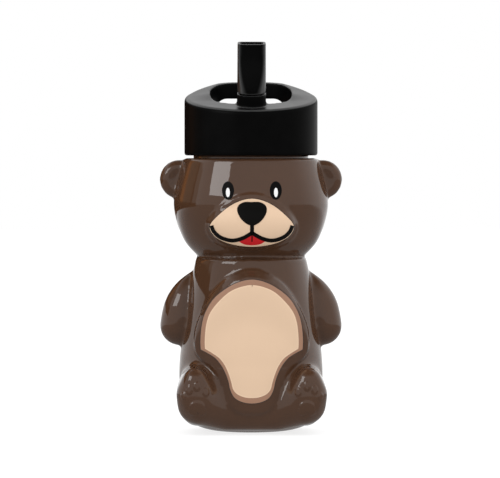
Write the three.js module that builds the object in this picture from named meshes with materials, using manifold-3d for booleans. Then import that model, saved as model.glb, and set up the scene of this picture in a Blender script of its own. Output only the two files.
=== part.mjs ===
// A child's drinking bottle in the shape of a sitting bear: a hollow moulded body,
// a screw lid with a carry arch, and a flip-up spout with its straw.
// Millimetres, +Z up. The bear faces -Y and the neck axis is the Z axis.

import * as THREE from "three";
import { mergeVertices } from "three/addons/utils/BufferGeometryUtils.js";
import Module from "manifold-3d";

// Moulded body
const wall = 1.6;
const baseRadius = 22;
const pushUpRadius = 14;
const pushUpHeight = 1.8;
const hipRadius = 33.4;
const hipHeight = 32;
const waistRadius = 25.6;
const waistHeight = 80.8;
const torsoShift = 2;
const waistForward = 4.5;
const headRadius = 35.9;
const headHeight = 104.5;
const shoulderRadius = 31.6;
const shoulderHeight = 127.2;
const shoulderRound = 1.8;
const headDepthShare = 0.95;

// Lobes of the bear, for its left side; the right side mirrors them
const shoulderJoint = { x: 25.4, z: 72.4, radius: 3 };
const hand = { x: 33.1, z: 49.2, radius: 9.3 };
const armSwell = 8.9;
const armSetBack = 1;
const foot = { x: 24.4, y: -16.6, z: 17.6, width: 21, depth: 39.6, height: 30.4 };
const footTaper = 0.22;
const seat = { reach: 17, y: -23.4, z: 8.4, radius: 6.8 };
const ear = { x: 33.4, z: 117.3, width: 18.2, thickness: 10.4 };
const earDishRadius = 30;
const earDishDepth = 2;
const snout = { y: -25.4, z: 97, width: 43, depth: 22, height: 25.6 };

// Belly panel, half of its outline from top to bottom
const bellyRise = 1.1;
const bellyOutline = [
  [0, 76.1],
  [11.8, 71.7],
  [18.8, 64.2],
  [25.7, 49.1],
  [26.2, 39.4],
  [18.2, 30.3],
  [12.9, 18.6],
  [6.4, 11],
  [0, 9.8],
];

// Neck
const neckRadius = 25;
const neckWall = 2;
const neckHeight = 15.1;
const collarStep = 1.75;
const collarHeight = 3;

// Fits
const seatGap = 0.2;
const slideGap = 0.3;
const turnGap = 0.4;

// Lid
const lidGap = 1.2;
const lidHeight = 27;
const lidWall = 2;
const lidTopThickness = 2;
const lidEdgeRound = 1.8;
const topSlope = 0.2;
const levelFrom = 28;
const crownSlope = 0.15;
const crownHalf = 28;
const crownFlat = 15;
const crownFrom = -10;
const crownTo = 4;
const snapBead = 0.7;
const sideRim = 12;
const frontRim = 16;
const backRim = 5;
const holeWall = 2;
const holePower = 2.8;
const archWidth = 34;
const archCorner = 4;
const gasketThickness = 1.4;
const deckThickness = 2.4;
const insertWall = 2.2;
const threadRoom = 1.1;

// Hinge and spout, in a frame that leans forward with the top of the lid
const lean = THREE.MathUtils.degToRad(12);
const pivotSetBack = 12.5;
const pivotDrop = 2;
const yokeWidth = 13.4;
const yokeFront = 8;
const cheekThickness = 1.8;
const cheekRadius = 4.2;
const barrelRadius = 3.8;
const trunnionRadius = 1.5;
const spoutLength = 27.4;
const spoutTipWidth = 13;
const spoutTipDepth = 7.8;
const spoutWall = 1.3;
const channelBore = 4.6;

// Straw, seal and valve
const strawSetBack = 3;
const strawBore = 5.8;
const strawWall = 0.9;
const strawFloorGap = 8;
const nippleLength = 10;
const nippleBore = 3.8;
const ventSetBack = 15;
const ventBore = 2.6;
const valveRadius = 4;
const valveThickness = 0.9;

// Places that several pieces share
const neckTop = shoulderHeight + neckHeight;
const neckBore = neckRadius - neckWall;
const deckBottom = neckTop + gasketThickness + 2 * seatGap;
const deckTop = deckBottom + deckThickness;
const skirtBore = neckRadius + threadRoom;
const insertRadius = skirtBore + insertWall + turnGap;
const insertBottom = shoulderHeight + collarHeight + 2 * slideGap;
const shellBore = insertRadius + slideGap;
const shellFloor = deckTop + seatGap;
const lidRadius = shellBore + lidWall;
const lidBottom = shoulderHeight + lidGap;
const lidTop = lidBottom + lidHeight;
const hole = {
  y: (frontRim - backRim) / 2,
  width: 2 * (lidRadius - sideRim),
  depth: 2 * lidRadius - frontRim - backRim,
};
const pivot = { y: pivotSetBack - lidRadius, z: lidTop - pivotDrop };
const yokeRadius = yokeWidth / 2;
const wellHalfWidth = yokeRadius - cheekThickness;
const strawY = pivot.y + strawSetBack;
const ventY = lidRadius - ventSetBack;

// Facets around a turned form
const fine = 48;
const medium = 36;
const coarse = 20;

const wasm = await Module();
wasm.setup();

function solid(geometry) {
  const bare = new THREE.BufferGeometry();
  bare.setAttribute("position", geometry.getAttribute("position"));
  bare.setIndex(geometry.getIndex());
  const welded = mergeVertices(bare, 1e-4);
  const mesh = new wasm.Mesh({
    numProp: 3,
    vertProperties: new Float32Array(welded.getAttribute("position").array),
    triVerts: new Uint32Array(welded.getIndex().array),
  });
  return new wasm.Manifold(mesh);
}

function geometryOf(manifold) {
  const mesh = manifold.getMesh();
  const geometry = new THREE.BufferGeometry();
  geometry.setAttribute("position", new THREE.BufferAttribute(mesh.vertProperties, 3));
  geometry.setIndex(new THREE.BufferAttribute(mesh.triVerts, 1));
  geometry.computeVertexNormals();
  return geometry;
}

function join(...parts) {
  return parts.reduce((whole, part) => whole.add(part));
}

function cut(whole, ...tools) {
  return tools.reduce((rest, tool) => rest.subtract(tool), whole);
}

// A profile of [radius, height] pairs turned about the Z axis
function turned(profile, segments) {
  const points = profile.map(([radius, height]) => new THREE.Vector2(radius, height));
  return new THREE.LatheGeometry(points, segments).rotateX(Math.PI / 2);
}

function cylinder(radius, bottom, top, segments) {
  return turned([[0, bottom], [radius, bottom], [radius, top], [0, top]], segments);
}

function ring(inner, outer, bottom, top, segments) {
  const profile = [[inner, bottom], [outer, bottom], [outer, top], [inner, top], [inner, bottom]];
  return turned(profile, segments);
}

function box(x0, x1, y0, y1, z0, z1) {
  const geometry = new THREE.BoxGeometry(x1 - x0, y1 - y0, z1 - z0);
  return geometry.translate((x0 + x1) / 2, (y0 + y1) / 2, (z0 + z1) / 2);
}

function ellipsoid(width, depth, height, segments) {
  const ball = new THREE.SphereGeometry(0.5, segments, Math.round(segments * 0.6));
  return ball.rotateX(Math.PI / 2).scale(width, depth, height);
}

function curveThrough(points, count) {
  const knots = points.map(([a, b]) => new THREE.Vector2(a, b));
  return new THREE.SplineCurve(knots).getPoints(count).map((p) => [p.x, p.y]);
}

// Half of an outline from top to bottom, level at both ends where its mirror image joins it
function levelHalf(points) {
  const mirror = ([x, z]) => [-x, z];
  const ghosts = [mirror(points[1]), ...points, mirror(points.at(-2))];
  return curveThrough(ghosts, 3 * (ghosts.length - 1)).filter(([x]) => x > -1e-6);
}

// A point of an oval whose corners fill out as the power grows above 2
function squareOval(angle, halfWidth, halfDepth, power) {
  const stretch = (value) => Math.sign(value) * Math.abs(value) ** (2 / power);
  return [halfWidth * stretch(Math.cos(angle)), halfDepth * stretch(Math.sin(angle))];
}

// A part of a circle in a profile, from one angle to another
function arc(centreR, centreZ, radius, from, to, steps) {
  const points = [];
  for (let i = 0; i <= steps; i += 1) {
    const angle = THREE.MathUtils.degToRad(from + ((to - from) * i) / steps);
    points.push([centreR + radius * Math.cos(angle), centreZ + radius * Math.sin(angle)]);
  }
  return points;
}

// A profile with both ends put exactly on the axis
function pinned(profile) {
  profile[0][0] = 0;
  profile[profile.length - 1][0] = 0;
  return profile;
}

// A flat outline pushed along Z
function slab(shape, bottom, top, curveSegments) {
  const options = { depth: top - bottom, bevelEnabled: false, curveSegments };
  return new THREE.ExtrudeGeometry(shape, options).translate(0, 0, bottom);
}

function mirrored(make) {
  return join(make(1), make(-1));
}

// The body: every lobe is made twice, once full size and once smaller by the wall.
// The inner one has fewer facets. A negative inset grows the torso for the belly panel.

// The torso sits a little back at the hip and leans forward up to the waist
function leanForward(geometry) {
  const position = geometry.getAttribute("position");
  for (let i = 0; i < position.count; i += 1) {
    const share = (position.getZ(i) - hipHeight) / (waistHeight - hipHeight);
    const forward = waistForward * THREE.MathUtils.clamp(share, 0, 1);
    position.setY(i, position.getY(i) + torsoShift - forward);
  }
  return geometry;
}

function torso(inset, segments) {
  const steps = inset > 0 ? 6 : 10;
  const floor = Math.max(inset, 0);
  const top = waistHeight - floor;
  const hip = hipRadius - inset;
  const corner = hipRadius - 0.4 - baseRadius - floor;
  const profile = [
    [0, pushUpHeight + floor],
    [pushUpRadius, pushUpHeight + floor],
    [pushUpRadius + 2 * pushUpHeight, floor],
    ...arc(hip - 0.4 - corner, floor + corner, corner, -90, -12, Math.ceil(steps / 2)),
    ...curveThrough(
      [
        [hip - 0.2, hipHeight * 0.5],
        [hip, hipHeight],
        [hip - 2.6, hipHeight + 20],
        [waistRadius + 1.8 - inset, top - 8],
        [waistRadius - inset, top],
      ],
      steps,
    ),
    [waistRadius - 6 - inset, top + 0.4],
    [0, top + 0.4],
  ];
  return solid(leanForward(turned(profile, segments)));
}

function head(inset, segments) {
  const steps = inset > 0 ? 6 : 10;
  const top = shoulderHeight - inset;
  const edge = shoulderRadius - inset;
  const profile = [
    [0, waistHeight - 3],
    [waistRadius - 5 - inset, waistHeight - 3],
    ...curveThrough(
      [
        [waistRadius - inset, waistHeight + 0.4],
        [headRadius - 5 - inset, headHeight - 16],
        [headRadius - inset, headHeight],
        [headRadius - 1.3 - inset, headHeight + 10],
        [edge, top - shoulderRound],
      ],
      steps,
    ),
    ...arc(edge - shoulderRound, top - shoulderRound, shoulderRound, 20, 90, 3),
    [0, top],
  ];
  return solid(turned(profile, segments).scale(1, headDepthShare, 1));
}

// A limb that swells from the shoulder to a round hand
function arm(side, inset, segments) {
  const upper = Math.max(shoulderJoint.radius - inset, 0.6);
  const lower = hand.radius - inset;
  const length = Math.hypot(hand.x - shoulderJoint.x, hand.z - shoulderJoint.z);
  const profile = pinned([
    ...arc(0, 0, lower, -90, 0, 6),
    ...curveThrough([[lower, 0], [armSwell - inset, length / 2], [upper, length]], 6).slice(1),
    ...arc(0, length, upper, 45, 90, 1),
  ]);
  const tilt = Math.atan2(hand.x - shoulderJoint.x, shoulderJoint.z - hand.z);
  const limb = turned(profile, segments).rotateY(-side * tilt);
  return solid(limb.translate(side * hand.x, armSetBack, hand.z));
}

// A lobe that is broader below than above
function leg(side, inset, segments) {
  const grow = -2 * inset;
  const lobe = ellipsoid(foot.width + grow, foot.depth + grow, foot.height + grow, segments);
  const position = lobe.getAttribute("position");
  for (let i = 0; i < position.count; i += 1) {
    const share = (2 * position.getZ(i)) / foot.height;
    position.setX(i, position.getX(i) * (1 - footTaper * share));
  }
  return solid(lobe.translate(side * foot.x, foot.y, foot.z));
}

// A round bar across the bottom that fills the valley between the legs
function seatBar(inset, segments) {
  const radius = seat.radius - inset;
  const ends = [arc(0, -seat.reach, radius, -90, 0, 4), arc(0, seat.reach, radius, 0, 90, 4)];
  const profile = pinned(ends.flat());
  return solid(turned(profile, segments).rotateY(Math.PI / 2).translate(0, seat.y, seat.z));
}

function earLobe(side) {
  const lobe = ellipsoid(ear.width, ear.thickness, ear.width, coarse);
  const dish = ellipsoid(earDishRadius * 2, earDishRadius * 2, earDishRadius * 2, medium);
  const dishY = -ear.thickness / 2 - earDishRadius + earDishDepth;
  lobe.translate(side * ear.x, 0, ear.z);
  dish.translate(side * ear.x, dishY, ear.z);
  return cut(solid(lobe), solid(dish));
}

function muzzle(inset, segments) {
  const grow = -2 * inset;
  const bump = ellipsoid(snout.width + grow, snout.depth + grow, snout.height + grow, segments);
  return solid(bump.translate(0, snout.y, snout.z));
}

// The belly panel: the torso grown by the rise, trimmed to the panel's outline
function bellyPanel() {
  const half = levelHalf(bellyOutline);
  const outline = new THREE.Shape();
  outline.moveTo(...half[0]);
  half.slice(1).forEach(([x, z]) => outline.lineTo(x, z));
  half.slice(1, -1).reverse().forEach(([x, z]) => outline.lineTo(-x, z));
  outline.closePath();
  const stamp = slab(outline, 0, 2 * hipRadius, 1).rotateX(Math.PI / 2);
  return torso(-bellyRise, medium).intersect(solid(stamp));
}

function bearBottle() {
  const skin = join(
    torso(0, medium),
    head(0, medium),
    mirrored((side) => arm(side, 0, coarse)),
    mirrored((side) => leg(side, 0, coarse)),
    seatBar(0, coarse),
    mirrored((side) => earLobe(side)),
    muzzle(0, coarse),
    bellyPanel(),
    solid(cylinder(neckRadius + collarStep, shoulderHeight - 1, shoulderHeight + collarHeight, medium)),
    solid(cylinder(neckRadius, shoulderHeight, neckTop, medium)),
  );
  const hollow = join(
    torso(wall, coarse),
    head(wall, coarse),
    mirrored((side) => arm(side, wall, coarse / 2)),
    mirrored((side) => leg(side, wall, coarse / 2)),
    seatBar(wall, coarse / 2),
    muzzle(wall, coarse / 2),
    solid(cylinder(neckBore, shoulderHeight - 2 * wall, neckTop + 1, medium)),
  );
  return cut(skin, hollow);
}

// How far the top of the lid stands above the plain cap: it rises towards the back, and
// there it also rises from both sides to the carry arch
function slant(x, y) {
  const crown = crownHalf - THREE.MathUtils.clamp(Math.abs(x), crownFlat, crownHalf);
  const share = THREE.MathUtils.smoothstep(y, crownFrom, crownTo);
  return topSlope * Math.min(y, levelFrom) + crownSlope * crown * share;
}

// Lift the upper part of a form so that a level top follows the slant of the lid
function slanted(geometry) {
  const position = geometry.getAttribute("position");
  for (let i = 0; i < position.count; i += 1) {
    const z = position.getZ(i);
    if (z > deckTop) position.setZ(i, z + slant(position.getX(i), position.getY(i)));
  }
  return geometry;
}

// From the leaning frame of the hinge to the bottle's frame
function leaning(geometry) {
  return geometry.rotateX(lean).translate(0, pivot.y, pivot.z);
}

function acrossHinge(radius, halfLength, segments) {
  return cylinder(radius, -halfLength, halfLength, segments).rotateY(Math.PI / 2);
}

// The plan of the yoke: straight cheeks and a round front
function yokePlan(radius, front, back) {
  const plan = new THREE.Shape();
  plan.moveTo(radius, back);
  plan.lineTo(-radius, back);
  plan.lineTo(-radius, radius - front);
  plan.absarc(0, radius - front, radius, Math.PI, 2 * Math.PI, false);
  plan.closePath();
  return plan;
}

function hinge() {
  const depth = pivot.z - deckTop + 2 * yokeFront;
  const plan = yokePlan(yokeRadius, yokeFront, cheekRadius);
  const block = solid(leaning(slab(plan, -depth, cheekRadius - seatGap, 12)));
  const rear = solid(leaning(box(-lidRadius, lidRadius, 0, lidRadius, 0, lidRadius)));
  const round = solid(leaning(acrossHinge(cheekRadius, lidRadius + 1, medium)));
  const below = solid(box(-lidRadius, lidRadius, -lidRadius * 2, lidRadius, 0, shellFloor));
  const foldBack = pivot.y + cheekRadius + seatGap / 2;
  const foldLow = pivot.z - barrelRadius - turnGap;
  const foldRoom = solid(box(-lidRadius, lidRadius, foldBack, lidRadius, foldLow, lidTop + lidRadius));
  return cut(block, cut(rear, round), foldRoom, below);
}

// Room for the barrel in the leaning frame, and room for the seal straight below it
function hingeWell() {
  const front = barrelRadius + 2 * turnGap;
  const barrelRoom = box(-wellHalfWidth, wellHalfWidth, -front, hole.depth / 2, -front, spoutLength);
  const sealRoom = slab(sealPlan(slideGap), shellFloor - 1, pivot.z, 8);
  return join(solid(leaning(barrelRoom)), solid(sealRoom));
}

function holePlan(extra) {
  const [halfWidth, halfDepth] = [hole.width / 2 + extra, hole.depth / 2 + extra];
  const points = [];
  for (let k = 0; k < medium; k += 1) {
    const [x, y] = squareOval((2 * Math.PI * k) / medium, halfWidth, halfDepth, holePower);
    points.push(new THREE.Vector2(x, hole.y + y));
  }
  return new THREE.Shape(points);
}

// The window under the carry arch, seen from the back
function archPlan() {
  const plan = new THREE.Shape();
  const half = archWidth / 2;
  const top = lidTop - slideGap;
  const round = archCorner;
  plan.moveTo(-half, shellFloor - 1);
  plan.lineTo(half, shellFloor - 1);
  plan.lineTo(half, top - round);
  plan.absarc(half - round, top - round, round, 0, Math.PI / 2, false);
  plan.absarc(round - half, top - round, round, Math.PI / 2, Math.PI, false);
  plan.closePath();
  return plan;
}

// A level top with rings across it, so that it can follow the slant
function levelTop(radius, height) {
  return [0.86, 0.66, 0].map((share) => [radius * share, height]);
}

function lidShell() {
  const crown = lidTop - lidTopThickness;
  const outside = solid(
    slanted(
      turned(
        [
          [0, lidBottom],
          [lidRadius - 0.6, lidBottom],
          [lidRadius, lidBottom + 0.6],
          ...arc(lidRadius - lidEdgeRound, lidTop - lidEdgeRound, lidEdgeRound, 0, 90, 4),
          ...levelTop(lidRadius, lidTop),
        ],
        fine,
      ),
    ),
  );
  const beadTop = insertBottom - seatGap;
  const inside = solid(
    slanted(
      turned(
        [
          [0, lidBottom - 1],
          [shellBore, lidBottom - 1],
          [shellBore, beadTop - 2 * snapBead],
          [shellBore - snapBead, beadTop - snapBead],
          [shellBore, beadTop],
          [shellBore, crown],
          ...levelTop(shellBore, crown),
        ],
        fine,
      ),
    ),
  );
  const tall = lidTop + lidRadius;
  const wellWall = solid(slab(holePlan(holeWall), shellFloor, tall, 24));
  const frameHalf = archWidth / 2 + holeWall;
  const windowFrame = solid(
    box(-frameHalf, frameHalf, hole.y + hole.depth / 4, lidRadius, shellFloor, tall),
  );
  const walls = join(wellWall, windowFrame).intersect(outside);
  const opening = solid(slab(holePlan(0), shellFloor - 1, tall, 24));
  const notchHalf = yokeRadius + 2 * turnGap;
  const notchFront = pivot.y + cheekRadius - 1;
  const notch = solid(box(-notchHalf, notchHalf, notchFront, hole.y, shellFloor - 1, tall));
  const window = slab(archPlan(), -2 * lidRadius, -hole.y, 6).rotateX(Math.PI / 2);
  const body = cut(join(cut(outside, inside), walls), opening, notch, solid(window));
  const pinHoles = solid(leaning(acrossHinge(trunnionRadius + slideGap, yokeRadius + 1, coarse)));
  return cut(join(body, hinge()), hingeWell(), pinHoles);
}

// The seal under the hinge barrel sits in a pocket of the deck
const pocketDepth = deckThickness / 3;
const pocketFloor = deckTop - pocketDepth;
const sealHalf = wellHalfWidth - slideGap;
const sealFront = pivot.y - sealHalf;
const sealBack = strawY + nippleBore / 2 + 1.2;

function sealPlan(extra) {
  const plan = new THREE.Shape();
  const half = sealHalf + extra;
  plan.moveTo(half, sealBack + extra);
  plan.lineTo(-half, sealBack + extra);
  plan.lineTo(-half, pivot.y);
  plan.absarc(0, pivot.y, half, Math.PI, 2 * Math.PI, false);
  plan.closePath();
  return plan;
}

function lidInsert() {
  const skirt = ring(skirtBore, skirtBore + insertWall, insertBottom, deckBottom + 0.1, fine);
  const deck = cylinder(insertRadius, deckBottom, deckTop, fine);
  const nippleRadius = strawBore / 2 - slideGap / 2;
  const nipple = cylinder(nippleRadius, deckBottom - nippleLength, deckBottom + 0.1, coarse);
  const waterWay = cylinder(nippleBore / 2, deckBottom - nippleLength - 1, deckTop + 1, coarse);
  const vent = cylinder(ventBore / 2, deckBottom - 1, deckTop + 1, coarse);
  const pocket = slab(sealPlan(seatGap), pocketFloor, deckTop + 1, 8);
  return cut(
    join(solid(deck), solid(skirt), solid(nipple.translate(0, strawY, 0))),
    solid(waterWay.translate(0, strawY, 0)),
    solid(vent.translate(0, ventY, 0)),
    solid(pocket),
  );
}

// The seal cradles the barrel, stays clear of the folded spout behind it, and has a
// port under the barrel with a chamber that leads back to the straw
function spoutSeal() {
  const bottom = pocketFloor + seatGap;
  const top = pivot.z - barrelRadius + 1;
  const block = solid(slab(sealPlan(0), bottom, top, 8));
  const behind = box(-yokeRadius, yokeRadius, pivot.y, 0, pivot.z - barrelRadius - turnGap, pivot.z);
  const cradle = acrossHinge(barrelRadius + slideGap, yokeRadius, medium);
  cradle.translate(0, pivot.y, pivot.z);
  const port = cylinder(channelBore / 2, bottom - 1, pivot.z, coarse).translate(0, pivot.y, 0);
  const chamberTop = bottom + (pivot.z - barrelRadius - bottom) * 0.4;
  const half = nippleBore / 2;
  const chamber = box(-half, half, pivot.y, strawY + half, bottom - 1, chamberTop);
  return cut(block, solid(behind), solid(cradle), solid(port), solid(chamber));
}

function ventValve() {
  const bottom = deckTop + seatGap;
  const stem = ventBore / 2 - slideGap;
  const profile = [
    [0, deckBottom - 1.6],
    [stem * 0.6, deckBottom - 1.6],
    [stem + 0.5, deckBottom - seatGap],
    [stem, deckBottom - seatGap],
    [stem, bottom],
    [valveRadius, bottom],
    [valveRadius * 0.9, bottom + valveThickness * 0.6],
    [0, bottom + valveThickness],
  ];
  return solid(turned(profile, coarse).translate(0, ventY, 0));
}

function lidGasket() {
  const bottom = neckTop + seatGap;
  const inner = neckBore - 0.3;
  const outer = neckRadius + 0.5;
  return solid(ring(inner, outer, bottom, bottom + gasketThickness, medium));
}

function straw() {
  const inner = strawBore / 2;
  const outer = inner + strawWall;
  const top = deckBottom - seatGap;
  const tube = solid(ring(inner, outer, strawFloorGap, top, coarse).translate(0, strawY, 0));
  const notch = new THREE.Shape();
  notch.moveTo(-outer * 0.7, -1);
  notch.lineTo(outer * 0.7, -1);
  notch.lineTo(0, outer * 1.2);
  notch.closePath();
  const wedge = slab(notch, -2 * outer, 2 * outer, 1).rotateX(Math.PI / 2);
  return cut(tube, solid(wedge.translate(0, strawY, strawFloorGap)));
}

// The spout: one closed ring per height, from the round front of the yoke at the
// bottom to a rounded oblong at the tip
function spoutLoft(inset, bottom, top) {
  const levels = 5;
  const around = 36;
  const points = [];
  const faces = [];
  for (let level = 0; level <= levels; level += 1) {
    const share = level / levels;
    const height = bottom + (top - bottom) * share;
    const rise = (height - cheekRadius) / (spoutLength - cheekRadius);
    const half = THREE.MathUtils.lerp(yokeRadius - 0.1, spoutTipWidth / 2, rise) - inset;
    const back = barrelRadius - 0.2 - inset;
    const tipFront = spoutTipDepth - barrelRadius + 0.2;
    const front = THREE.MathUtils.lerp(yokeFront, tipFront, Math.min(1, rise * 1.6)) - inset;
    const power = THREE.MathUtils.lerp(2.6, 5, Math.min(1, rise * 2));
    for (let k = 0; k < around; k += 1) {
      const angle = (2 * Math.PI * k) / around;
      const [deep, corners] = k > around / 2 ? [front, power] : [back, 6];
      points.push(...squareOval(angle, half, deep, corners), height);
    }
  }
  for (let level = 0; level < levels; level += 1) {
    for (let k = 0; k < around; k += 1) {
      const a = level * around + k;
      const b = level * around + ((k + 1) % around);
      faces.push(a, b, b + around, a, b + around, a + around);
    }
  }
  const last = levels * around;
  for (let k = 1; k < around - 1; k += 1) {
    faces.push(0, k + 1, k, last, last + k, last + k + 1);
  }
  const geometry = new THREE.BufferGeometry();
  geometry.setAttribute("position", new THREE.Float32BufferAttribute(points, 3));
  geometry.setIndex(faces);
  return leaning(geometry);
}

function spout() {
  const lugHalf = wellHalfWidth - slideGap;
  const shoulder = cheekRadius + turnGap;
  const body = solid(spoutLoft(0, shoulder, spoutLength));
  const lugDeep = barrelRadius - 0.2;
  const lug = solid(leaning(box(-lugHalf, lugHalf, -lugDeep, lugDeep, 0, shoulder + 1)));
  const barrel = solid(leaning(acrossHinge(barrelRadius, lugHalf, medium)));
  const trunnions = solid(leaning(acrossHinge(trunnionRadius, yokeRadius - slideGap, coarse)));
  const mouth = solid(spoutLoft(spoutWall, shoulder + spoutWall, spoutLength + 1));
  const channel = solid(
    leaning(cylinder(channelBore / 2, -barrelRadius - 1, shoulder + spoutWall + 1, coarse)),
  );
  return cut(join(body, lug, barrel, trunnions), mouth, channel);
}

function piece(name, manifold, colour, roughness) {
  const material = new THREE.MeshStandardMaterial({ color: colour, roughness });
  const mesh = new THREE.Mesh(geometryOf(manifold), material);
  mesh.name = name;
  return mesh;
}

const bottle = new THREE.Group();
bottle.name = "bear_water_bottle";
bottle.add(
  piece("bear_bottle", bearBottle(), 0x5a4336, 0.15),
  piece("lid_shell", lidShell(), 0x151515, 0.45),
  piece("lid_insert", lidInsert(), 0x1c1c1c, 0.5),
  piece("spout", spout(), 0x121212, 0.4),
  piece("spout_seal", spoutSeal(), 0xb9b9b4, 0.7),
  piece("lid_gasket", lidGasket(), 0xc6c6c0, 0.7),
  piece("vent_valve", ventValve(), 0xb9b9b4, 0.7),
  piece("straw", straw(), 0xdcdcd6, 0.5),
);

export default bottle;
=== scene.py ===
# %% [markdown]
# # A drinking bottle in the shape of a sitting bear
# The bottle is one glossy brown moulding with a printed face and belly. A black screw
# lid with a carry arch closes it, and a flip-up spout drinks through a straw. The CAD
# model fixes where everything is and how it moves. This lesson gives it its looks.

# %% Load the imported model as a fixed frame
import math

import bpy
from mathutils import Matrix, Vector


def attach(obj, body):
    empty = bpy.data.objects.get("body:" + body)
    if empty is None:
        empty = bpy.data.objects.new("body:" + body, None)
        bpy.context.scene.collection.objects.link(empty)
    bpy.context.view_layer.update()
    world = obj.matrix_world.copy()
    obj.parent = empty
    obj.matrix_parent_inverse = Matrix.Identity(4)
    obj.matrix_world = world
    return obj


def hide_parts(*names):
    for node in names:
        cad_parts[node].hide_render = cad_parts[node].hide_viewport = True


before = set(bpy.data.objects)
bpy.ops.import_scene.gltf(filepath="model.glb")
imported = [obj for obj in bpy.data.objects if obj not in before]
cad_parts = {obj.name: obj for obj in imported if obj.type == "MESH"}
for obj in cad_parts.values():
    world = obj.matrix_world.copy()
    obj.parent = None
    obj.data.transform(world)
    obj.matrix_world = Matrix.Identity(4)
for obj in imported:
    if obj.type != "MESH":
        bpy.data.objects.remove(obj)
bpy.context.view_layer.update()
print("CAD nodes:", sorted(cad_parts))

# %% [markdown]
# Every size below is in millimetres, because that is how a moulder thinks, and `MM`
# turns it into Blender's metres. A few small tools come first. An operator acts on all
# that is selected, so each tool clears the selection before it starts.

# %% Small tools
MM = 0.001


def activate(obj):
    if bpy.context.mode != "OBJECT":
        bpy.ops.object.mode_set(mode="OBJECT")
    bpy.ops.object.select_all(action="DESELECT")
    obj.select_set(True)
    bpy.context.view_layer.objects.active = obj


def edit(obj):
    activate(obj)
    bpy.ops.object.mode_set(mode="EDIT")
    bpy.ops.mesh.select_all(action="SELECT")


def settle(obj):
    """Leave edit mode and put the piece's place into its mesh."""
    activate(obj)
    bpy.ops.object.transform_apply(location=True, rotation=True, scale=True)
    return obj


def closed(obj):
    """Turn all faces outwards and settle."""
    bpy.ops.mesh.select_all(action="SELECT")
    bpy.ops.mesh.normals_make_consistent(inside=False)
    return settle(obj)


def finish_with(obj, kind, **settings):
    activate(obj)
    modifier = obj.modifiers.new(kind.title(), kind)
    for key, value in settings.items():
        setattr(modifier, key, value)
    bpy.ops.object.modifier_apply(modifier=modifier.name)
    return obj


def combine(whole, tool, operation):
    """Add, subtract or intersect a tool, which is used up."""
    finish_with(whole, "BOOLEAN", object=tool, operation=operation, solver="MANIFOLD")
    bpy.data.objects.remove(tool)
    return whole


def join(objects):
    activate(objects[0])
    for obj in objects[1:]:
        obj.select_set(True)
    bpy.ops.object.join()
    return bpy.context.view_layer.objects.active


def copy_of(obj):
    twin = obj.copy()
    twin.data = obj.data.copy()
    bpy.context.collection.objects.link(twin)
    return twin


# %% [markdown]
# Two ways of starting a piece do most of the work here. A half outline spun about the
# bottle's axis makes anything round. A flat outline pushed along the depth makes a
# stamp that cuts panels and prints out of a curved surface.

# %% Spun forms, balls and stamps
def smooth_through(points, count, level=False):
    """Points along a smooth curve through a few given ones.

    A level curve starts and ends on the middle line, where its mirror image joins it.
    """
    before, after = points[0], points[-1]
    if level:
        before, after = (-points[1][0], points[1][1]), (-points[-2][0], points[-2][1])
    knots = [Vector(p) for p in (before, *points, after)]
    spans = len(points) - 1
    curve = []
    for i in range(count + 1):
        place = min(i * spans / count, spans - 1e-9)
        k, t = int(place), place - int(place)
        a, b, c, d = knots[k : k + 4]
        ab, bc, cd = (max((q - p).length ** 0.5, 1e-3) for p, q in ((a, b), (b, c), (c, d)))
        leave = (b - a) * (bc / ab) - (c - a) * (bc / (ab + bc)) + (c - b)
        arrive = (c - b) - (d - b) * (bc / (bc + cd)) + (d - c) * (bc / cd)
        square = 3 * (c - b) - 2 * leave - arrive
        cube = 2 * (b - c) + leave + arrive
        curve.append(tuple(b + t * leave + t**2 * square + t**3 * cube))
    return curve


def arc(centre, radius, start, stop, steps):
    angles = [math.radians(start + (stop - start) * i / steps) for i in range(steps + 1)]
    return [(centre[0] + radius * math.cos(a), centre[1] + radius * math.sin(a)) for a in angles]


def oval(centre, half, steps=48, power=2):
    """An ellipse; a power above 2 fills out its corners."""
    points = []
    for i in range(steps):
        c, s = math.cos(math.tau * i / steps), math.sin(math.tau * i / steps)
        x, y = (math.copysign(abs(v) ** (2 / power), v) for v in (c, s))
        points.append((centre[0] + half[0] * x, centre[1] + half[1] * y))
    return points


def new_mesh(name, points, edges=(), faces=()):
    mesh = bpy.data.meshes.new(name)
    mesh.from_pydata([[c * MM for c in p] for p in points], edges, faces)
    obj = bpy.data.objects.new(name, mesh)
    bpy.context.collection.objects.link(obj)
    return obj


def turned(name, outline, steps=96):
    """Spin (radius, height) points about the Z axis."""
    points = [(r, 0, z) for r, z in outline]
    obj = new_mesh(name, points, [(i, i + 1) for i in range(len(points) - 1)])
    edit(obj)
    bpy.ops.mesh.spin(steps=steps, angle=math.tau, center=(0, 0, 0), axis=(0, 0, 1))
    bpy.ops.mesh.select_all(action="SELECT")
    bpy.ops.mesh.remove_doubles(threshold=0.001 * MM)
    return closed(obj)


def ball(name, centre, size, segments=48):
    bpy.ops.object.select_all(action="DESELECT")
    bpy.ops.mesh.primitive_uv_sphere_add(segments=segments, ring_count=segments // 2, radius=0.5)
    obj = bpy.context.object
    obj.name = name
    obj.scale = [s * MM for s in size]
    obj.location = [c * MM for c in centre]
    return settle(obj)


def prism(name, corners, push):
    """A flat outline of points, pushed along a vector."""
    obj = new_mesh(name, corners, faces=[list(range(len(corners)))])
    edit(obj)
    travel = {"value": [c * MM for c in push]}
    bpy.ops.mesh.extrude_region_move(TRANSFORM_OT_translate=travel)
    return closed(obj)


def stamp(name, outline, near=-60, far=-5):
    """A prism that goes through the front of the bottle, from (x, z) points."""
    return prism(name, [(x, near, z) for x, z in outline], (0, far - near, 0))


def both_sides(half):
    """Mirror half an outline, given from top to bottom, into a closed one."""
    inner = [p for p in half if abs(p[0]) > 1e-6]
    return half + [(-x, z) for x, z in reversed(inner)]


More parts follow.
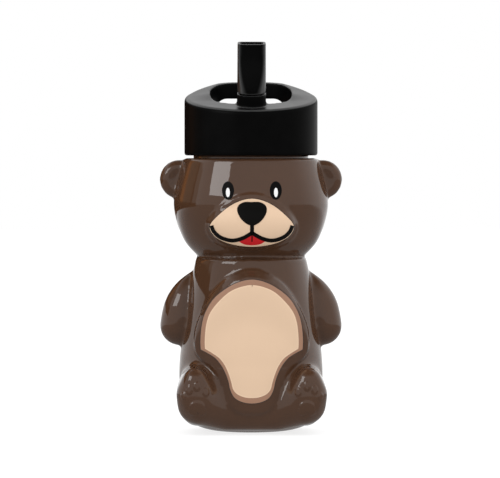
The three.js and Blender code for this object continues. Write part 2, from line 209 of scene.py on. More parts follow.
# %% [markdown]
# ## The bear
# The real bottle is blown into a two-part mould, so its lobes flow into one skin with
# tight soft creases. Here each lobe is a simple closed form at its real size. A voxel
# remesh then melts them into one skin, and a smoothing pass rounds the creases as a
# mould does.

# %% Torso and head
WALL, FOOT_WALL = 1.6, 4.6
BASE_R, BASE_ROUND = 13, 11.5
HIP_R, HIP_Z = 33.4, 32
WAIST_R, WAIST_Z = 25.6, 80.8
HEAD_R, HEAD_Z = 35.9, 104.5
SHOULDER_R, SHOULDER_Z, SHOULDER_ROUND = 31.6, 127.2, 1.8
TORSO_SHIFT, WAIST_FORWARD, HEAD_DEPTH = 2, 4.5, 0.95
PUSH_UP_R, PUSH_UP = 7, 1.6
CHIN_NOTCH = 1.6


def torso(inset):
    """The torso, spun. An inset makes its hollow, and a negative one a raised skin."""
    floor, hip = max(inset, 0), HIP_R - inset
    top = WAIST_Z - floor
    wide, tall = hip - 0.4 - BASE_R, BASE_ROUND - floor
    side = [
        (hip - 0.2, HIP_Z / 2),
        (hip, HIP_Z),
        (hip - 2.6, HIP_Z + 20),
        (WAIST_R + 1.8 - inset, top - 8),
        (WAIST_R - inset, top),
    ]
    outline = [(0, PUSH_UP + floor), (PUSH_UP_R, PUSH_UP + floor), (PUSH_UP_R + 2 * PUSH_UP, floor)]
    quarter = arc((0, 1), 1, -90, -12, 20)
    outline += [(BASE_R + wide * r, floor + tall * z) for r, z in quarter]
    outline += smooth_through(side, 40)
    outline += [(WAIST_R - 6 - inset, top + 0.4), (0, top + 0.4)]
    obj = turned("torso", outline)
    for vertex in obj.data.vertices:
        share = (vertex.co.z / MM - HIP_Z) / (WAIST_Z - HIP_Z)
        vertex.co.y += (TORSO_SHIFT - WAIST_FORWARD * min(max(share, 0), 1)) * MM
    return obj


def head(inset):
    top, edge = SHOULDER_Z - inset, SHOULDER_R - inset
    side = [
        (WAIST_R - CHIN_NOTCH - inset, WAIST_Z + 0.2),
        (HEAD_R - 5 - inset, HEAD_Z - 16),
        (HEAD_R - inset, HEAD_Z),
        (HEAD_R - 1.3 - inset, HEAD_Z + 10),
        (edge, top - SHOULDER_ROUND),
    ]
    outline = [(0, WAIST_Z - 3), (WAIST_R - 5 - inset, WAIST_Z - 3)]
    outline += smooth_through(side, 48)
    outline += arc((edge - SHOULDER_ROUND, top - SHOULDER_ROUND), SHOULDER_ROUND, 20, 90, 6)
    outline += [(0, top)]
    obj = turned("head", outline)
    obj.scale.y = HEAD_DEPTH
    return settle(obj)


# %% Arms, legs, ears and snout
ARM = [(25.4, 72.4, 3), (29.5, 64.6, 6.8), (31.6, 57.4, 9.1), (33.1, 49.2, 9.3)]
ARM_BALLS = [((x, 1, z), r) for x, z, r in smooth_through(ARM, 10)]
FOOT = {"centre": (25.2, -12, 17.6), "size": (18.8, 32, 29)}
SOLE = {"centre": (25.2, -34.4, 17), "size": (13, 4.4, 17)}
SOLE_Y = -36.2
SOLE_EDGE = [(26, 25.4, 6), (27.4, 19, 7.3), (24.6, 14.4, 9.6), (23.4, 13.2, 8.6), (23.6, 20, 6.8)]
SEAT_END = ((12, -22.5, 9), 7.2)
SEAT_BAR = [SEAT_END, ((-12, -22.5, 9), 7.2)]
SEAT_SLOPE = [SEAT_END, ((21, -25.5, 13.4), 9.5), ((18.4, -22, 23), 7.4)]
EAR = {"centre": (33.4, 0, 117.3), "size": (18.2, 10.4, 18.2)}
EAR_DISH_R, EAR_DISH = 30, 2
SNOUT = {"centre": (0, -25.6, 97.6), "size": (41, 24, 25)}


def on_side(centre, side):
    return (side * centre[0], centre[1], centre[2])


def wrapped(name, forms):
    """Several balls inside one tight skin."""
    whole = join(forms)
    whole.name = name
    edit(whole)
    bpy.ops.mesh.convex_hull()
    return settle(whole)


def lobe(name, form, side, inset):
    size = [s - 2 * inset for s in form["size"]]
    return ball(name, on_side(form["centre"], side), size, 64)


def limb(name, balls, side, inset):
    return wrapped(
        name,
        [ball(name, on_side(c, side), (2 * max(r - inset, 0.6),) * 3) for c, r in balls],
    )


def leg(side):
    """A round lobe with a nearly flat, pear-shaped sole."""
    forms = [lobe("leg", FOOT, side, 0), lobe("sole", SOLE, side, 0)]
    for x, z, r in SOLE_EDGE:
        forms.append(ball("edge", (side * x, SOLE_Y + r, z), (2 * r,) * 3, 64))
    return wrapped("leg", forms)


def ear(side):
    flap = lobe("ear", EAR, side, 0)
    x, y, z = on_side(EAR["centre"], side)
    dish_y = y - EAR["size"][1] / 2 - EAR_DISH_R + EAR_DISH
    dish = ball("ear_dish", (x, dish_y, z), (2 * EAR_DISH_R,) * 3, 192)
    return combine(flap, dish, "DIFFERENCE")


# %% [markdown]
# The belly and the snout stand proud of the body with a crisp step. Each is a slightly
# grown copy of the form below it, trimmed by an outline, which keeps the step even all
# the way round. The top of the belly also swells forward like a full stomach, so its
# vertices are pushed out there, most a few millimetres below the edge.

# %% Raised belly and raised snout
BELLY_RISE, BELLY_SWELL, SNOUT_RISE = 1.3, 2.2, 0.9
BELLY_FRONT, EDGE_BEND = -10, 32
SWELL_STARTS, SWELL_ENDS = (0.3, 4.2), (6, 26)
BELLY = [(0, 76.1), (11.8, 71.7), (18.8, 64.2), (25.7, 49.1), (26.2, 39.4), (24.6, 35.8)]
BELLY += [(18.2, 30.3), (14.4, 23.9), (12.9, 18.6), (10.4, 13.7), (5.9, 10.7), (0, 9.8)]
SNOUT_FOOT = [(0, 110.9), (8, 109.1), (15.5, 104.1), (21.2, 96.3), (19.2, 90.4), (12.3, 86.5), (0, 84.7)]


def eased(value, low, high):
    """From 0 to 1 between two limits, starting and ending softly."""
    share = min(max((value - low) / (high - low), 0), 1)
    return share * share * (3 - 2 * share)


def raised(form, outline):
    return combine(form, stamp("step", both_sides(smooth_through(outline, 110, True))), "INTERSECT")


def swell(x, z):
    below_edge = BELLY[0][1] - z - x * x / EDGE_BEND
    return BELLY_SWELL * eased(below_edge, *SWELL_STARTS) * (1 - eased(below_edge, *SWELL_ENDS))


belly = raised(torso(-BELLY_RISE), BELLY)
for vertex in belly.data.vertices:
    x, y, z = vertex.co / MM
    if y < BELLY_FRONT:
        vertex.co.y -= swell(x, z) * MM
snout = combine(lobe("snout", SNOUT, 0, 0), head(-SNOUT_RISE), "UNION")
snout = raised(snout, SNOUT_FOOT)
print("raised forms:", len(belly.data.polygons), "and", len(snout.data.polygons), "faces")

# %% [markdown]
# Now the forms melt. A voxel remesh makes one closed skin of everything that overlaps,
# merging doubles takes out its slivers, and a few smoothing passes round the creases. The
# torso and the feet go first, with a low bar and two slopes that fill the seat between
# the feet, because they need a softness of their own before the rest is added.

# %% Melt torso and feet
def melted(forms, voxel, passes):
    """Make one skin of several forms, with its creases rounded."""
    whole = join(forms)
    finish_with(whole, "REMESH", mode="VOXEL", voxel_size=voxel * MM)
    edit(whole)
    bpy.ops.mesh.remove_doubles(threshold=0.15 * voxel * MM)
    bpy.ops.mesh.normals_make_consistent(inside=False)
    return finish_with(whole, "SMOOTH", factor=0.5, iterations=passes)


SKIN_VOXEL, SKIN_PASSES = 0.8, 4
trunk = [torso(0), limb("seat", SEAT_BAR, 1, 0)]
for side in (1, -1):
    trunk += [limb("seat", SEAT_SLOPE, side, 0), leg(side)]
trunk = melted(trunk, SKIN_VOXEL, SKIN_PASSES)
print("trunk:", len(trunk.data.polygons), "faces")

# %% [markdown]
# Between the feet the surface is soft: the soles roll into the valley beside the belly,
# and lower down into the seat, without a crease. A second smoothing pass works there
# alone. A vertex group tells it where, and how much.

# %% Smooth the valley between the feet
VALLEY_PASSES, FOOT_PASSES, VALLEY_LEAST = 36, 8, 0.25


def smooth_where(obj, passes, weight_at):
    group = obj.vertex_groups.new(name="soft")
    for vertex in obj.data.vertices:
        weight = weight_at(*(vertex.co / MM))
        if weight > 0:
            group.add([vertex.index], weight, "REPLACE")
    return finish_with(obj, "SMOOTH", factor=0.5, iterations=passes, vertex_group="soft")


def near_feet(y, z):
    """Full at the front and below the tops of the feet."""
    return eased(-y, 8, 16) * eased(-z, -40, -34)


def in_valley(x, y, z):
    inside, above = eased(-abs(x), -26, -21), eased(z, 23, 28)
    most = VALLEY_LEAST + (1 - VALLEY_LEAST) * max(inside, above)
    return near_feet(y, z) * eased(z, 1, 4) * most


def on_foot(x, y, z):
    return near_feet(y, z) * eased(abs(x), 15, 18)


smooth_where(trunk, VALLEY_PASSES, in_valley)

# %% [markdown]
# The head, arms, ears, belly and snout join the trunk in a second melt, which makes the
# bear one moulding instead of a pile of balls. The voxel is a trade: a smaller one keeps
# finer creases, but the skin's gloss shows every ripple, and the face count grows fast.

# %% Melt all the lobes into one skin
lobes = [trunk, head(0), belly, snout]
for side in (1, -1):
    lobes += [limb("arm", ARM_BALLS, side, 0), ear(side)]
skin = smooth_where(melted(lobes, SKIN_VOXEL, SKIN_PASSES), FOOT_PASSES, on_foot)
print("bear skin:", len(skin.data.polygons), "faces")

# %% [markdown]
# Each sole carries a paw in low relief: a pad and four toes. They are too soft to weld on
# as forms of their own. Instead the skin is fine enough to be pushed out in place, most
# in the middle of each toe and not at all at its edge.

# %% Paw relief
PAW_HEIGHT, PAW_EDGE = 0.4, 0.35
PAD = [((25.1, 13.6), (7.6, 5.4)), ((22.9, 11.6), (4.2, 4.4)), ((27.3, 11.6), (4.2, 4.4))]
TOES = [((21, 20.4), (2.9, 4.2)), ((25.2, 23), (2.9, 4.4))]
TOES += [((28.8, 21.4), (2.9, 4.2)), ((31.5, 18.4), (2.6, 3.8))]
SOLE_DEPTH, SOLE_TOP, SOLE_INSIDE = 4, 32, 13


def paw_height(x, z):
    """How far the paw stands out at a place of the sole."""
    bumps = [1 - (2 * (x - cx) / w) ** 2 - (2 * (z - cz) / h) ** 2 for (cx, cz), (w, h) in PAD + TOES]
    return PAW_HEIGHT * eased(max(bumps), 0, PAW_EDGE)


def on_sole(point):
    x, y, z = point / MM
    return y < SOLE_Y + SOLE_DEPTH and z < SOLE_TOP and abs(x) > SOLE_INSIDE


edit(skin)
bpy.ops.mesh.select_all(action="DESELECT")
bpy.ops.object.mode_set(mode="OBJECT")
for face in skin.data.polygons:
    face.select = on_sole(face.center)
bpy.ops.object.mode_set(mode="EDIT")
bpy.ops.mesh.subdivide(number_cuts=1)
bpy.ops.object.mode_set(mode="OBJECT")
for vertex in skin.data.vertices:
    if on_sole(vertex.co):
        vertex.co.y -= paw_height(abs(vertex.co.x) / MM, vertex.co.z / MM) * MM
finish_with(skin, "SMOOTH", factor=0.5, iterations=1)
print("skin with paws:", len(skin.data.polygons), "faces")

# %% [markdown]
# The neck is a separate spun form, because its rim, collar and thread are crisp. It is
# joined on, and then the inside is cut out: the same lobes again, smaller by the wall. The
# feet get a thicker wall, because the soft skin between them lies deeper than the lobes.

# %% Neck, thread and hollow
NECK_R, NECK_BORE, NECK_TOP = 25, 23, 142.3
COLLAR_R, COLLAR_TOP = 26.75, 130.2
THREAD_PITCH, THREAD_TURNS, THREAD_RISE = 5, 1.4, 0.7
HOLLOW_VOXEL, HOLLOW_PASSES = 2, 3


def thread(name, radius, rise, start):
    """A ridge wound round the axis: a small outline driven along a screw path."""
    foot, crest = radius - 0.3 * rise, radius + rise
    ridge = [(foot, -1), (crest, -0.4), (crest, 0.4), (foot, 1)]
    obj = new_mesh(name, [(r, 0, start + z) for r, z in ridge], [(0, 1), (1, 2), (2, 3), (3, 0)])
    turns = {"angle": math.tau * THREAD_TURNS, "screw_offset": THREAD_PITCH * THREAD_TURNS * MM}
    finish_with(obj, "SCREW", steps=180, render_steps=180, use_merge_vertices=False, **turns)
    edit(obj)
    bpy.ops.mesh.fill_holes(sides=0)
    return closed(obj)


neck_outline = [
    (0, SHOULDER_Z - 1),
    (COLLAR_R, SHOULDER_Z - 1),
    (COLLAR_R, COLLAR_TOP - 0.5),
    (COLLAR_R - 0.5, COLLAR_TOP),
    (NECK_R + 0.6, COLLAR_TOP),
    (NECK_R, COLLAR_TOP + 0.6),
    *arc((NECK_R - 0.6, NECK_TOP - 0.6), 0.6, 0, 90, 4),
    (0, NECK_TOP),
]
neck = turned("neck", neck_outline, 128)
combine(neck, thread("neck_thread", NECK_R, THREAD_RISE, COLLAR_TOP + 2.4), "UNION")
bear = combine(copy_of(skin), neck, "UNION")

inner = [torso(WALL), head(WALL), lobe("snout", SNOUT, 0, WALL)]
for side in (1, -1):
    inner += [limb("arm", ARM_BALLS, side, WALL), lobe("leg", FOOT, side, FOOT_WALL)]
hollow = melted(inner, HOLLOW_VOXEL, HOLLOW_PASSES)
combine(bear, hollow, "DIFFERENCE")
bore_low, bore_high = SHOULDER_Z - 5, NECK_TOP + 2
bore = [(0, bore_low), (NECK_BORE, bore_low), (NECK_BORE, bore_high), (0, bore_high)]
combine(bear, turned("bore", bore, 128), "DIFFERENCE")
print("bear with neck:", sum(len(p.vertices) - 2 for p in bear.data.polygons), "triangles")

# %% [markdown]
# ## Finishes
# All the hard pieces are moulded plastic, so they share one effect: slow blotches, as
# left by handling and by flow in the mould, and a fine grain from the mould's skin. It
# is a node group that gives out two masks. Each material turns them into its own
# colour, roughness and relief.
#
# On the black lid, what faces up gets a stronger specular, and its rounded edges get a
# grey base colour: a painted highlight along those edges. The direction of the surface
# tells where, which is steadier on a remeshed piece than a measure of its curvature.

# %% The moulded surface, as a node group
moulded_surface = bpy.data.node_groups.new("moulded_surface", "ShaderNodeTree")
MASKS = ("Blotch", "Grain")
for mask in MASKS:
    moulded_surface.interface.new_socket(mask + " scale", in_out="INPUT", socket_type="NodeSocketFloat")
    moulded_surface.interface.new_socket(mask, in_out="OUTPUT", socket_type="NodeSocketFloat")
group_in = moulded_surface.nodes.new("NodeGroupInput")
group_out = moulded_surface.nodes.new("NodeGroupOutput")
place = moulded_surface.nodes.new("ShaderNodeTexCoord")
for mask in MASKS:
    noise = moulded_surface.nodes.new("ShaderNodeTexNoise")
    moulded_surface.links.new(place.outputs["Object"], noise.inputs["Vector"])
    moulded_surface.links.new(group_in.outputs[mask + " scale"], noise.inputs["Scale"])
    moulded_surface.links.new(noise.outputs["Fac"], group_out.inputs[mask])
print("shared masks:", *MASKS)

# %% Plastics
GRAIN_DEPTH = 0.02


def limits(node, side, low, high):
    """Set the limits of one side, From or To, of a Map Range node."""
    node.inputs[side + " Min"].default_value, node.inputs[side + " Max"].default_value = low, high


def gloss_and_edge_highlight(nodes, links, specular, colour, axis, low, high, top_specular, highlight_grey):
    """Give what faces along an axis a stronger specular, and paint a grey highlight on the edges that turn
    towards it.
    """
    shader = nodes["Principled BSDF"]
    place, axes = nodes.new("ShaderNodeTexCoord"), nodes.new("ShaderNodeSeparateXYZ")
    links.new(place.outputs["Normal"], axes.inputs[0])
    share = nodes.new("ShaderNodeMapRange")
    limits(share, "From", low, high)
    links.new(axes.outputs[axis], share.inputs["Value"])
    gloss = nodes.new("ShaderNodeMapRange")
    limits(gloss, "To", specular, top_specular)
    links.new(share.outputs["Result"], gloss.inputs["Value"])
    links.new(gloss.outputs["Result"], shader.inputs["Specular IOR Level"])
    # The grey band on the rounded edges is a painted highlight.
    edge, highlight_mix = nodes.new("ShaderNodeValToRGB"), nodes.new("ShaderNodeMix")
    edge.color_ramp.elements[1].color = (0, 0, 0, 1)
    edge.color_ramp.elements.new(0.5).color = (1, 1, 1, 1)
    links.new(share.outputs["Result"], edge.inputs["Fac"])
    highlight_mix.data_type = "RGBA"
    highlight_mix.inputs["B"].default_value = (highlight_grey, highlight_grey, highlight_grey, 1)
    links.new(edge.outputs["Color"], highlight_mix.inputs["Factor"])
    links.new(colour, highlight_mix.inputs["A"])
    links.new(highlight_mix.outputs["Result"], shader.inputs["Base Color"])


def moulded(name, dark, light, rough, blotch, grain, relief, specular=0.5, highlit_edges=None):
    """A plastic whose colour and roughness drift between two values."""
    material = bpy.data.materials.new(name)
    material.use_nodes = True
    nodes, links = material.node_tree.nodes, material.node_tree.links
    shader = nodes["Principled BSDF"]
    shader.inputs["Specular IOR Level"].default_value = specular
    texture = nodes.new("ShaderNodeGroup")
    texture.node_tree = moulded_surface
    texture.inputs["Blotch scale"].default_value = blotch
    texture.inputs["Grain scale"].default_value = grain
    tint = nodes.new("ShaderNodeValToRGB")
    tint.color_ramp.elements[0].position = 0.3
    tint.color_ramp.elements[1].position = 0.7
    tint.color_ramp.elements[0].color = (*dark, 1)
    tint.color_ramp.elements[1].color = (*light, 1)
    links.new(texture.outputs["Blotch"], tint.inputs["Fac"])
    links.new(tint.outputs["Color"], shader.inputs["Base Color"])
    polish = nodes.new("ShaderNodeMapRange")
    limits(polish, "To", *rough)
    links.new(texture.outputs["Blotch"], polish.inputs["Value"])
    links.new(polish.outputs["Result"], shader.inputs["Roughness"])
    bump = nodes.new("ShaderNodeBump")
    bump.inputs["Strength"].default_value = relief
    bump.inputs["Distance"].default_value = GRAIN_DEPTH * MM
    links.new(texture.outputs["Grain"], bump.inputs["Height"])
    links.new(bump.outputs["Normal"], shader.inputs["Normal"])
    if highlit_edges:
        gloss_and_edge_highlight(nodes, links, specular, tint.outputs["Color"], *highlit_edges)
    return material


def grey(value):
    return (value, value, value)


BROWNS = (0.070, 0.033, 0.0175), (0.076, 0.036, 0.019)
SATIN = grey(0.0018), grey(0.0028), (0.32, 0.4), 90, 2600, 0.12, 0.03
# The grey of the painted highlight on the rounded edges of the lid and the spout.
EDGE_HIGHLIGHT_GREY = 0.06
brown = moulded("brown_gloss_plastic", *BROWNS, (0.02, 0.05), 70, 900, 0.02)
black = moulded("satin_black_plastic", *SATIN, ("Z", 0.5, 0.96, 0.8, EDGE_HIGHLIGHT_GREY))
spout_black = moulded("edge_highlit_black_plastic", *SATIN, ("Y", -0.97, -0.45, 0.9, EDGE_HIGHLIGHT_GREY))
insert_black = moulded("insert_black_plastic", grey(0.006), grey(0.009), (0.35, 0.45), 90, 1500, 0.15)
silicone = moulded("milky_silicone", (0.70, 0.70, 0.66), (0.78, 0.78, 0.74), (0.5, 0.65), 150, 1800, 0.1)
STRAW_WHITES = (0.76, 0.76, 0.73), (0.82, 0.82, 0.79)
straw_white = moulded("soft_white_straw", *STRAW_WHITES, (0.3, 0.42), 80, 1200, 0.05)


# %% Dress the bear
def finished(piece, name, material, body, slot, *nodes, angle=35):
    """Name a piece, dress it and fix it to its body."""
    piece.name = piece.data.name = name
    piece.data.materials.clear()
    piece.data.materials.append(material)
    activate(piece)
    bpy.ops.object.shade_smooth_by_angle(angle=math.radians(angle))
    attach(piece, body)
    if nodes:
        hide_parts(*nodes)
    print(name, sum(len(p.vertices) - 2 for p in piece.data.polygons), "triangles")
    return piece


finished(bear, "bear_skin", brown, "bottle", "bear", "bear_bottle", angle=85)

# %% [markdown]
# ## The printed face and belly
# On the real bottle these are pad prints: flat ink a few hundredths of a millimetre
# thick. A texture could carry them, but here each colour is a real film. The skin is
# grown by the ink's thickness, trimmed by the print's outline, and the skin itself is
# taken away again.

# %% Ink
def ink(name, colour, specular=0.2):
    shade = [0.99 * c for c in colour]
    return moulded(name, shade, colour, (0.42, 0.52), 120, 3000, 0.04, specular)


cream_ink = ink("cream_ink", (0.81, 0.583, 0.405))
pale_ink = ink("pale_ink", (0.863, 0.631, 0.445))
tan_ink = ink("tan_ink", (0.381, 0.212, 0.138))
umber_ink = ink("umber_ink", (0.050, 0.034, 0.027))
black_ink = ink("black_ink", (0.0045, 0.0042, 0.004), 0.05)
red_ink = ink("red_ink", (0.59, 0.0105, 0.0155))
white_ink = ink("white_ink", (0.95, 0.95, 0.95))
INK_THICKNESS = 0.045


def patch_of(low, high):
    """The part of the skin inside a box that is to be printed."""
    (x0, y0, z0), (x1, y1, z1) = low, high
    corners = [(x0, y0, z0), (x1, y0, z0), (x1, y0, z1), (x0, y0, z1)]
    block = prism("print_block", corners, (0, y1 - y0, 0))
    return combine(copy_of(skin), block, "INTERSECT")


def grown(form, amount):
    return finish_with(copy_of(form), "DISPLACE", strength=amount * MM, mid_level=0)


def film(name, patch, layer, material, *outlines):
    """One colour of a print. Later layers lie over earlier ones."""
    pieces = []
    for outline in outlines:
        coat = combine(grown(patch, layer * INK_THICKNESS), stamp("outline", outline), "INTERSECT")
        pieces.append(combine(coat, grown(patch, -INK_THICKNESS), "DIFFERENCE"))
    return finished(join(pieces), name, material, "bottle", "bear")


def spread(outline, amount):
    """A closed outline moved outwards by an amount."""
    moved = []
    for i, (x, z) in enumerate(outline):
        ax, az = outline[i - 1]
        bx, bz = outline[(i + 1) % len(outline)]
        length = math.hypot(bx - ax, bz - az)
        moved.append((x - (bz - az) / length * amount, z + (bx - ax) / length * amount))
    return moved


def stroke(path, width):
    """The outline of a line drawn with a round nib."""
    sides = ([], [])
    for i, (x, z) in enumerate(path):
        ax, az = path[max(i - 1, 0)]
        bx, bz = path[min(i + 1, len(path) - 1)]
        length = math.hypot(bx - ax, bz - az)
        nx, nz = -(bz - az) / length * width / 2, (bx - ax) / length * width / 2
        sides[0].append((x + nx, z + nz))
        sides[1].append((x - nx, z - nz))
    return sides[0] + sides[1][::-1]


# %% Belly print
TAN_TOP = [(0, 71.7), (7.1, 70.1), (13.9, 66), (17.8, 62.3), (21.1, 56.8)]
TAN_TOP += [(22.8, 51.4), (23.6, 43.1), (23.4, 39.2)]
TAN_LOW = [(23.4, 39.2), (17.1, 35.8), (13.9, 32.1), (12, 28.5), (10.7, 24.8)]
TAN_LOW += [(9.9, 21.2), (7.9, 17.5), (4.5, 15.6), (0, 14.9)]
CREAM_TOP = [(0, 68.9), (6.9, 67.4), (11.6, 64.6), (18.5, 56.8), (20.5, 51.4), (21.3, 43.1), (21.2, 39.8)]
CREAM_LOW = [(21.2, 39.8), (14.8, 35.8), (12, 32.1), (10.4, 28.5), (9.2, 24.8)]
CREAM_LOW += [(8.2, 21.2), (6.4, 19.3), (3.2, 18), (0, 17.7)]
LINE_OUT, GLOW_OUT, CREAM_IN = 0.35, 0.3, -0.25


def half_level(points, steps=72):
    """A stretch that starts level on the middle line and ends freely."""
    x, z = points[1]
    return smooth_through([(-x, z), *points], steps)[steps // len(points) :]


def print_outline(top, low):
    """Two smooth stretches that meet in a corner, mirrored."""
    return both_sides(half_level(top)[:-1] + half_level(low[::-1])[::-1])


belly_patch = patch_of((-30, -50, 8), (30, -8, 78))
tan_outline, cream_outline = print_outline(TAN_TOP, TAN_LOW), print_outline(CREAM_TOP, CREAM_LOW)
film("belly_line", belly_patch, 1, umber_ink, spread(tan_outline, LINE_OUT))
film("belly_border", belly_patch, 2, tan_ink, tan_outline)
film("belly_glow", belly_patch, 3, pale_ink, spread(cream_outline, GLOW_OUT))
film("belly_cream", belly_patch, 4, cream_ink, spread(cream_outline, CREAM_IN))

# %% Face print
MUZZLE = [(0, 108.8), (7, 107.1), (14, 102.4), (19.3, 96), (17.5, 91.9), (11.6, 88.5), (0, 86.7)]
NOSE = [(0, 107.3), (3.7, 107.2), (6.2, 105.7), (6.8, 103.7), (5.5, 100.3), (2.7, 97.5), (0, 96.5)]
LIP = [(0, 93.2), (4.6, 90.6), (9.3, 89.6), (14.6, 91.1), (17.6, 93.9), (18.6, 96.4)]
PHILTRUM = [(0, 100), (0, 92.6)]
TONGUE = [(0, 92.3), (3.1, 90.6), (6.1, 89.6), (3.7, 87.9), (0, 87.4)]
TONGUE_LINE = [(0, 92), (0, 89.1)]
EYE, EYE_HALF = (10.95, 112.5), (2.75, 4.2)
GLINT, GLINT_HALF = (11, 111.6), (0.9, 2.15)
LIP_WIDTH, FINE_WIDTH, MUZZLE_OUT = 1.8, 0.55, 0.22

face_patch = patch_of((-30, -50, 82), (30, -8, 120))
muzzle_outline = both_sides(smooth_through(MUZZLE, 72, True))
mouth = [stroke(smooth_through([(s * x, z) for x, z in LIP], 40), LIP_WIDTH) for s in (1, -1)]
mouth.append(stroke(PHILTRUM, LIP_WIDTH))
film("muzzle_line", face_patch, 1, black_ink, spread(muzzle_outline, MUZZLE_OUT))
film("muzzle_cream", face_patch, 2, cream_ink, muzzle_outline)
film("tongue", face_patch, 3, red_ink, both_sides(smooth_through(TONGUE, 40)))
film("tongue_line", face_patch, 4, black_ink, stroke(TONGUE_LINE, FINE_WIDTH))
film("lips", face_patch, 5, black_ink, *mouth)
film("nose", face_patch, 6, black_ink, both_sides(smooth_through(NOSE, 48, True)))
for side, label in ((-1, "left"), (1, "right")):
    film("eye_" + label, face_patch, 1, black_ink, oval((side * EYE[0], EYE[1]), EYE_HALF))
    film("eye_glint_" + label, face_patch, 2, white_ink, oval((side * GLINT[0], GLINT[1]), GLINT_HALF))
for used in (skin, belly_patch, face_patch):
    bpy.data.objects.remove(used)

# %% [markdown]
# ## The lid
# The lid is a cap whose top slants down to the front, with a hole through it, an open
# arch behind the hole to carry it by, and a yoke in front that holds the spout. It is
# built as on a bench: a turned blank, a slanting top, and then one cut after another. A
# fine remesh and a little smoothing round every edge as a mould does.

# %% The lid's blank
LID_R, LID_BOTTOM, LID_TOP = 31, 128.4, 155.4
LID_BORE, LID_CROWN, LID_FLOOR = 29, 153.4, 146.7
LID_EDGE, SNAP_BEAD, SNAP_Z = 1.8, 0.7, 130.6
TOP_SLOPE, LEVEL_FROM = 0.2, 28
CROWN_SLOPE, CROWN_HALF, CROWN_FLAT = 0.15, 28, 15
CROWN_FROM, CROWN_TO = -10, 4
HOLE_Y, HOLE_HALF, HOLE_POWER, HOLE_WALL = 5.5, (19, 20.5), 2.8, 2
ARCH_HALF, ARCH_TOP, ARCH_ROUND = 16.4, 155.1, 5.6
LID_VOXEL, LID_PASSES = 0.47, 4
TALL = LID_TOP + LID_R


def slant(x, y):
    """The top rises towards the back, and there it also rises from both sides to the arch."""
    crown = CROWN_HALF - min(max(abs(x), CROWN_FLAT), CROWN_HALF)
    return TOP_SLOPE * min(y, LEVEL_FROM) + CROWN_SLOPE * crown * eased(y, CROWN_FROM, CROWN_TO)


def slanted(obj):
    """Lift what lies above the deck so that a level top follows the slant."""
    for vertex in obj.data.vertices:
        x, y, z = vertex.co / MM
        if z > LID_FLOOR - 0.2:
            vertex.co.z += slant(x, y) * MM
    return obj


def upright(name, outline, low, high):
    return prism(name, [(x, y, low) for x, y in outline], (0, 0, high - low))


def block(name, low, high):
    (x0, y0, z0), (x1, y1, z1) = low, high
    return upright(name, [(x0, y0), (x1, y0), (x1, y1), (x0, y1)], z0, z1)


def level_top(radius, height):
    """A level top with many rings, so that it can follow the slant."""
    return [(radius * (1 - i / 24), height) for i in range(1, 25)]


def lid_blank():
    outline = [(0, LID_BOTTOM), (LID_R - 0.6, LID_BOTTOM), (LID_R, LID_BOTTOM + 0.6)]
    outline += arc((LID_R - LID_EDGE, LID_TOP - LID_EDGE), LID_EDGE, 0, 90, 8)
    outline += level_top(LID_R - LID_EDGE, LID_TOP)
    return slanted(turned("lid_blank", outline, 192))


def lid_cavity():
    outline = [(0, LID_BOTTOM - 1), (LID_BORE, LID_BOTTOM - 1), (LID_BORE, SNAP_Z - 2 * SNAP_BEAD)]
    outline += [(LID_BORE - SNAP_BEAD, SNAP_Z - SNAP_BEAD), (LID_BORE, SNAP_Z)]
    outline += [(LID_BORE, LID_CROWN)] + level_top(LID_BORE, LID_CROWN)
    return slanted(turned("lid_cavity", outline, 192))


def hole_outline(extra):
    return oval((0, HOLE_Y), [h + extra for h in HOLE_HALF], 160, HOLE_POWER)


# %% Hole, arch and walls
lid = combine(lid_blank(), lid_cavity(), "DIFFERENCE")
walls = upright("hole_wall", hole_outline(HOLE_WALL), LID_FLOOR, TALL)
frame_half = ARCH_HALF + HOLE_WALL
window_frame = block("window_frame", (-frame_half, HOLE_Y + 10, LID_FLOOR), (frame_half, LID_R, TALL))
combine(walls, window_frame, "UNION")
combine(walls, lid_blank(), "INTERSECT")
combine(lid, walls, "UNION")
combine(lid, upright("hole", hole_outline(0), LID_FLOOR - 1, TALL), "DIFFERENCE")
arch = [(ARCH_HALF, LID_FLOOR - 1)]
arch += arc((ARCH_HALF - ARCH_ROUND, ARCH_TOP - ARCH_ROUND), ARCH_ROUND, 0, 90, 12)
combine(lid, stamp("window", both_sides(arch), HOLE_Y, 2 * LID_R), "DIFFERENCE")
print("lid with its arch:", len(lid.data.polygons), "faces")

# %% [markdown]
# The yoke holds the spout's barrel between two cheeks, and it leans forward with the lid's
# top. Leaning forms are awkward to place, so each is made upright at the origin, as if
# the hinge were there, and only then turned and moved to the hinge.

# %% The yoke that holds the spout
PIVOT_Y, PIVOT_Z, LEAN = -18.5, 153.4, 12
YOKE_HALF, YOKE_FRONT, CHEEK_R, CHEEK = 6.7, 8, 4.2, 1.8
BARREL_R, TRUNNION_R = 3.8, 1.5
WELL_HALF, NOTCH_ROOM, PLAY = YOKE_HALF - CHEEK, 0.8, 0.3


def leaning(obj):
    """Turn a form that was made upright at the origin into the hinge's leaning place."""
    obj.rotation_euler.x = math.radians(LEAN)
    obj.location = (0, PIVOT_Y * MM, PIVOT_Z * MM)
    return settle(obj)


def rod(name, radius, half):
    """A rod along the hinge's axis."""
    obj = turned(name, [(0, -half), (radius, -half), (radius, half), (0, half)], 64)
    obj.rotation_euler.y = math.pi / 2
    return settle(obj)


def yoke_outline(half, front, back):
    nose = arc((0, half - front), half, 180, 360, 32)
    return [(half, back), (-half, back)] + nose


